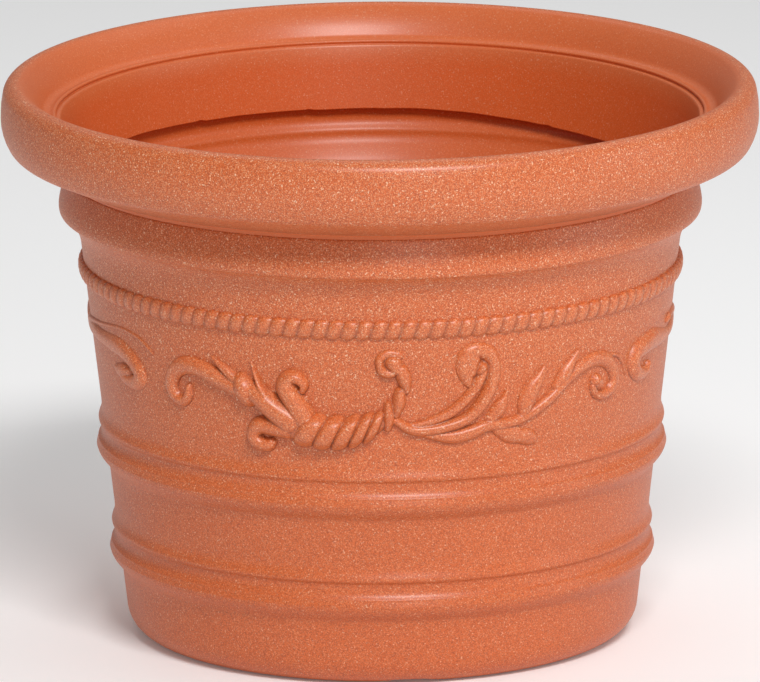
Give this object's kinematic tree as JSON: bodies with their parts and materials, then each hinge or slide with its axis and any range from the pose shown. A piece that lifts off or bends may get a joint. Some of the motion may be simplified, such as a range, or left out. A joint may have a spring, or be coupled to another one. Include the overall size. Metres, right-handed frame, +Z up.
{
  "type": "flower pot",
  "caption": "Large round terracotta-coloured plastic flower pot with a hollow rolled rim, ringed wall, rope band, horn and scroll garland in relief, and push-in drain plugs.",
  "frame": {"origin": "centre of the foot ring, on the ground", "axes": "+Z up along the axis of the pot, -Y towards the pictured front"},
  "size_m": [0.4999, 0.5, 0.3705],
  "materials": {
    "pot_plastic": "satin terracotta-coloured plastic with fine pale speckles",
    "relief_plastic": "the same satin plastic, moulded in relief",
    "plug_plastic": "plain darker terracotta-coloured plastic"
  },
  "bodies": {
    "pot": {"pot_shell": "pot_plastic", "rope_band": "relief_plastic", "left_scroll_1": "relief_plastic", "cornucopia_1": "relief_plastic", "right_scroll_1": "relief_plastic", "side_scroll_1": "relief_plastic", "left_scroll_2": "relief_plastic", "cornucopia_2": "relief_plastic", "right_scroll_2": "relief_plastic", "side_scroll_2": "relief_plastic"},
    "plug_1": {"drain_plug_1": "plug_plastic"},
    "plug_2": {"drain_plug_2": "plug_plastic"},
    "plug_3": {"drain_plug_3": "plug_plastic"},
    "plug_4": {"drain_plug_4": "plug_plastic"}
  },
  "joints": [
    {"name": "plug_1_lift", "type": "slide", "parent": "pot", "child": "plug_1", "axis": [0, 0, 1], "range_m": [0, 0.03]},
    {"name": "plug_2_lift", "type": "slide", "parent": "pot", "child": "plug_2", "axis": [0, 0, 1], "range_m": [0, 0.03]},
    {"name": "plug_3_lift", "type": "slide", "parent": "pot", "child": "plug_3", "axis": [0, 0, 1], "range_m": [0, 0.03]},
    {"name": "plug_4_lift", "type": "slide", "parent": "pot", "child": "plug_4", "axis": [0, 0, 1], "range_m": [0, 0.03]}
  ]
}
